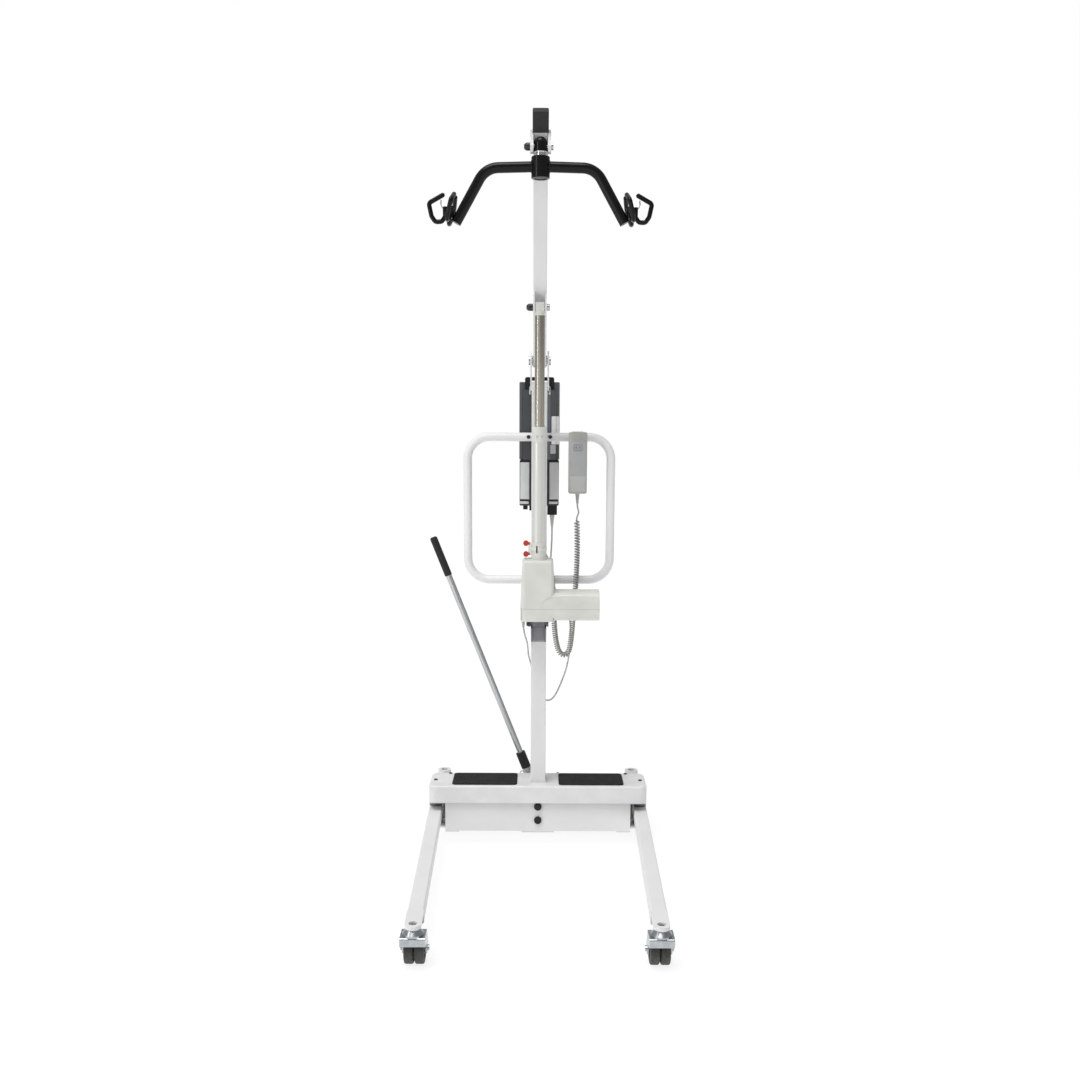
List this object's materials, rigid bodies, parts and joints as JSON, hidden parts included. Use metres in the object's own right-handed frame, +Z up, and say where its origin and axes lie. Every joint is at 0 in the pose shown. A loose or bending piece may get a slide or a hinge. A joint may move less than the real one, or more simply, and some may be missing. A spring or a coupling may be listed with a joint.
{
  "type": "patient lift hoist",
  "caption": "Mobile floor hoist with a powered boom, sling spreader bar, spreading legs on casters and a battery control box.",
  "frame": {"origin": "centre of the footprint on the floor, legs closed and boom raised", "axes": "+Z up, legs and boom reach towards -Y, +X to the viewer's right from the front"},
  "size_m": [0.6778, 1.0846, 2.0938],
  "materials": {
    "white_paint": "satin light grey-white powder coat",
    "cover_plastic": "satin light grey-white moulding",
    "pad_rubber": "matt dark ribbed rubber",
    "zinc": "bright zinc plate",
    "chrome_plate": "polished chrome",
    "black_plastic": "fine grained black",
    "grip_rubber": "matt black grip",
    "wheel_tyre": "dark grey polyurethane",
    "black_gloss": "gloss black powder coat",
    "box_grey": "dark grey moulding",
    "housing_grey": "warm light grey moulding",
    "red_plastic": "signal red",
    "tube_aluminium": "satin anodised",
    "cord_jacket": "soft light grey cord jacket",
    "handset_grey": "fine grained light grey",
    "steel_dark": "dark steel",
    "brass_gear": "machined brass"
  },
  "bodies": {
    "base": {"base_beam": "white_paint", "base_cover": "cover_plastic", "foot_pads": "pad_rubber", "base_fasteners": "zinc", "base_plugs": "black_plastic", "leg_bushings": "black_plastic", "lever_bracket": "zinc", "mast": "white_paint", "mast_fasteners": "zinc", "handle_loop": "white_paint", "box_plate": "black_plastic", "control_box": "box_grey", "box_plugs": "black_plastic", "coil_cord": "cord_jacket", "handset_lead": "cord_jacket", "motor_cable": "cord_jacket"},
    "lever": {"shift_lever": "zinc", "lever_grips": "grip_rubber", "lever_socket": "zinc"},
    "boom": {"boom": "white_paint", "boom_sleeve": "black_plastic", "boom_brackets": "white_paint", "boom_fasteners": "zinc"},
    "rod": {"piston_rod": "chrome_plate", "rod_eye": "zinc"},
    "actuator": {"actuator_housing": "housing_grey", "motor_shell": "housing_grey", "actuator_tube": "tube_aluminium", "actuator_collars": "housing_grey", "actuator_clevis": "black_plastic", "actuator_drive": "steel_dark"},
    "release": {"release_tab": "red_plastic"},
    "knuckle": {"swivel_knuckle": "black_gloss"},
    "spreader": {"spreader_bar": "black_gloss", "hooks_left": "black_gloss", "hooks_right": "black_gloss"},
    "battery": {"battery": "box_grey", "battery_handle": "black_plastic"},
    "stop_button": {"stop_button": "red_plastic"},
    "handset": {"handset": "handset_grey"},
    "button_up": {"button_up": "housing_grey"},
    "button_down": {"button_down": "housing_grey"},
    "leg_left": {"leg_left": "white_paint", "leg_arm_left": "zinc"},
    "tie_rod_left": {"tie_rod_left": "zinc"},
    "front_fork_left": {"front_fork_left": "chrome_plate"},
    "front_wheels_left": {"front_wheels_left": "wheel_tyre"},
    "rear_fork_left": {"rear_fork_left": "chrome_plate"},
    "rear_wheel_left": {"rear_wheel_left": "wheel_tyre"},
    "brake_pedal_left": {"brake_pedal_left": "black_plastic"},
    "gate_left": {"gate_left": "zinc"},
    "leg_right": {"leg_right": "white_paint", "leg_arm_right": "zinc"},
    "tie_rod_right": {"tie_rod_right": "zinc"},
    "front_fork_right": {"front_fork_right": "chrome_plate"},
    "front_wheels_right": {"front_wheels_right": "wheel_tyre"},
    "rear_fork_right": {"rear_fork_right": "chrome_plate"},
    "rear_wheel_right": {"rear_wheel_right": "wheel_tyre"},
    "brake_pedal_right": {"brake_pedal_right": "black_plastic"},
    "gate_right": {"gate_right": "zinc"}
  },
  "joints": [
    {"name": "leg_left_spread", "type": "hinge", "parent": "base", "child": "leg_left", "pos_m": [-0.318, 0.3303, 0.097], "axis": [0, 0, -1], "range_deg": [0, 13]},
    {"name": "leg_right_spread", "type": "hinge", "parent": "base", "child": "leg_right", "pos_m": [0.318, 0.3303, 0.097], "axis": [0, 0, 1], "range_deg": [0, 13]},
    {"name": "shift_lever_swing", "type": "hinge", "parent": "base", "child": "lever", "pos_m": [-0.0201, 0.4333, 0.162], "axis": [0, 1, 0], "range_deg": [0, 30]},
    {"name": "tie_rod_left_pin", "type": "hinge", "parent": "lever", "child": "tie_rod_left", "pos_m": [-0.02735, 0.3923, 0.18032], "axis": [0, -1, 0], "range_deg": [0, 30]},
    {"name": "tie_rod_right_pin", "type": "hinge", "parent": "lever", "child": "tie_rod_right", "pos_m": [-0.01285, 0.3923, 0.14368], "axis": [0, -1, 0], "range_deg": [0, 30]},
    {"name": "front_caster_left_swivel", "type": "hinge", "parent": "leg_left", "child": "front_fork_left", "pos_m": [-0.29301, -0.51683, 0.097], "axis": [0, 0, 1], "continuous": true},
    {"name": "front_wheels_left_roll", "type": "hinge", "parent": "front_fork_left", "child": "front_wheels_left", "pos_m": [-0.29301, -0.48183, 0.038], "axis": [1, 0, 0], "continuous": true},
    {"name": "rear_caster_left_swivel", "type": "hinge", "parent": "base", "child": "rear_fork_left", "pos_m": [-0.302, 0.4643, 0.12], "axis": [0, 0, 1], "continuous": true},
    {"name": "rear_wheel_left_roll", "type": "hinge", "parent": "rear_fork_left", "child": "rear_wheel_left", "pos_m": [-0.302, 0.4923, 0.05], "axis": [1, 0, 0], "continuous": true},
    {"name": "brake_left_press", "type": "hinge", "parent": "rear_fork_left", "child": "brake_pedal_left", "pos_m": [-0.302, 0.5063, 0.107], "axis": [-1, 0, 0], "range_deg": [0, 12]},
    {"name": "front_caster_right_swivel", "type": "hinge", "parent": "leg_right", "child": "front_fork_right", "pos_m": [0.29301, -0.51683, 0.097], "axis": [0, 0, 1], "continuous": true},
    {"name": "front_wheels_right_roll", "type": "hinge", "parent": "front_fork_right", "child": "front_wheels_right", "pos_m": [0.29301, -0.48183, 0.038], "axis": [1, 0, 0], "continuous": true},
    {"name": "rear_caster_right_swivel", "type": "hinge", "parent": "base", "child": "rear_fork_right", "pos_m": [0.302, 0.4643, 0.12], "axis": [0, 0, 1], "continuous": true},
    {"name": "rear_wheel_right_roll", "type": "hinge", "parent": "rear_fork_right", "child": "rear_wheel_right", "pos_m": [0.302, 0.4923, 0.05], "axis": [1, 0, 0], "continuous": true},
    {"name": "brake_right_press", "type": "hinge", "parent": "rear_fork_right", "child": "brake_pedal_right", "pos_m": [0.302, 0.5063, 0.107], "axis": [-1, 0, 0], "range_deg": [0, 12]},
    {"name": "boom_lift", "type": "hinge", "parent": "base", "child": "boom", "pos_m": [0, 0.3303, 1.474], "axis": [1, 0, 0], "range_deg": [0, 102.14], "deforming": ["motor_cable"]},
    {"name": "rod_eye_pin", "type": "hinge", "parent": "boom", "child": "rod", "pos_m": [0, 0.19489, 1.61152], "axis": [1, 0, 0], "range_deg": [-103.14, 0]},
    {"name": "actuator_stroke", "type": "slide", "parent": "rod", "child": "actuator", "axis": [0, -0.0631, 0.998], "range_m": [0, 0.30001]},
    {"name": "release_turn", "type": "hinge", "parent": "actuator", "child": "release", "pos_m": [0, 0.23805, 0.92855], "axis": [0, -0.0631, 0.998], "range_deg": [0, 40], "stiffness_Nm_per_rad": 0.3},
    {"name": "spreader_swing", "type": "hinge", "parent": "boom", "child": "knuckle", "pos_m": [0, -0.00163, 1.99177], "axis": [1, 0, 0], "range_deg": [-110, 8]},
    {"name": "spreader_turn", "type": "hinge", "parent": "knuckle", "child": "spreader", "pos_m": [0, -0.00163, 1.94177], "axis": [0, 0, 1], "range_deg": [-42, 42]},
    {"name": "gate_left_open", "type": "hinge", "parent": "spreader", "child": "gate_left", "pos_m": [-0.2554, -0.00163, 1.83977], "axis": [0, -1, 0], "range_deg": [0, 45], "stiffness_Nm_per_rad": 0.01, "springref_deg": -11.46},
    {"name": "gate_right_open", "type": "hinge", "parent": "spreader", "child": "gate_right", "pos_m": [0.2554, -0.00163, 1.83977], "axis": [0, 1, 0], "range_deg": [0, 45], "stiffness_Nm_per_rad": 0.01, "springref_deg": -11.46},
    {"name": "battery_lift", "type": "slide", "parent": "base", "child": "battery", "axis": [0, 0, 1], "range_m": [0, 0.26]},
    {"name": "stop_press", "type": "slide", "parent": "base", "child": "stop_button", "axis": [0, -1, 0], "range_m": [0, 0.004], "stiffness_N_per_m": 1500},
    {"name": "handset_lift", "type": "slide", "parent": "base", "child": "handset", "axis": [0, 0, 1], "range_m": [0, 0.06], "deforming": ["handset_lead"]},
    {"name": "up_press", "type": "slide", "parent": "handset", "child": "button_up", "axis": [0, 1, 0], "range_m": [0, 0.0015], "stiffness_N_per_m": 600},
    {"name": "down_press", "type": "slide", "parent": "handset", "child": "button_down", "axis": [0, 1, 0], "range_m": [0, 0.0015], "stiffness_N_per_m": 600}
  ],
  "couplings": [
    {"joint": "leg_right_spread", "follows": "leg_left_spread", "ratio": 1},
    {"joint": "shift_lever_swing", "follows": "leg_left_spread", "ratio": 2.3077},
    {"joint": "tie_rod_left_pin", "follows": "leg_left_spread", "ratio": 2.3077},
    {"joint": "tie_rod_right_pin", "follows": "leg_left_spread", "ratio": 2.3077},
    {"joint": "rod_eye_pin", "follows": "boom_lift", "ratio": -1.0097},
    {"joint": "actuator_stroke", "follows": "boom_lift", "m_per_rad": 0.16829}
  ]
}
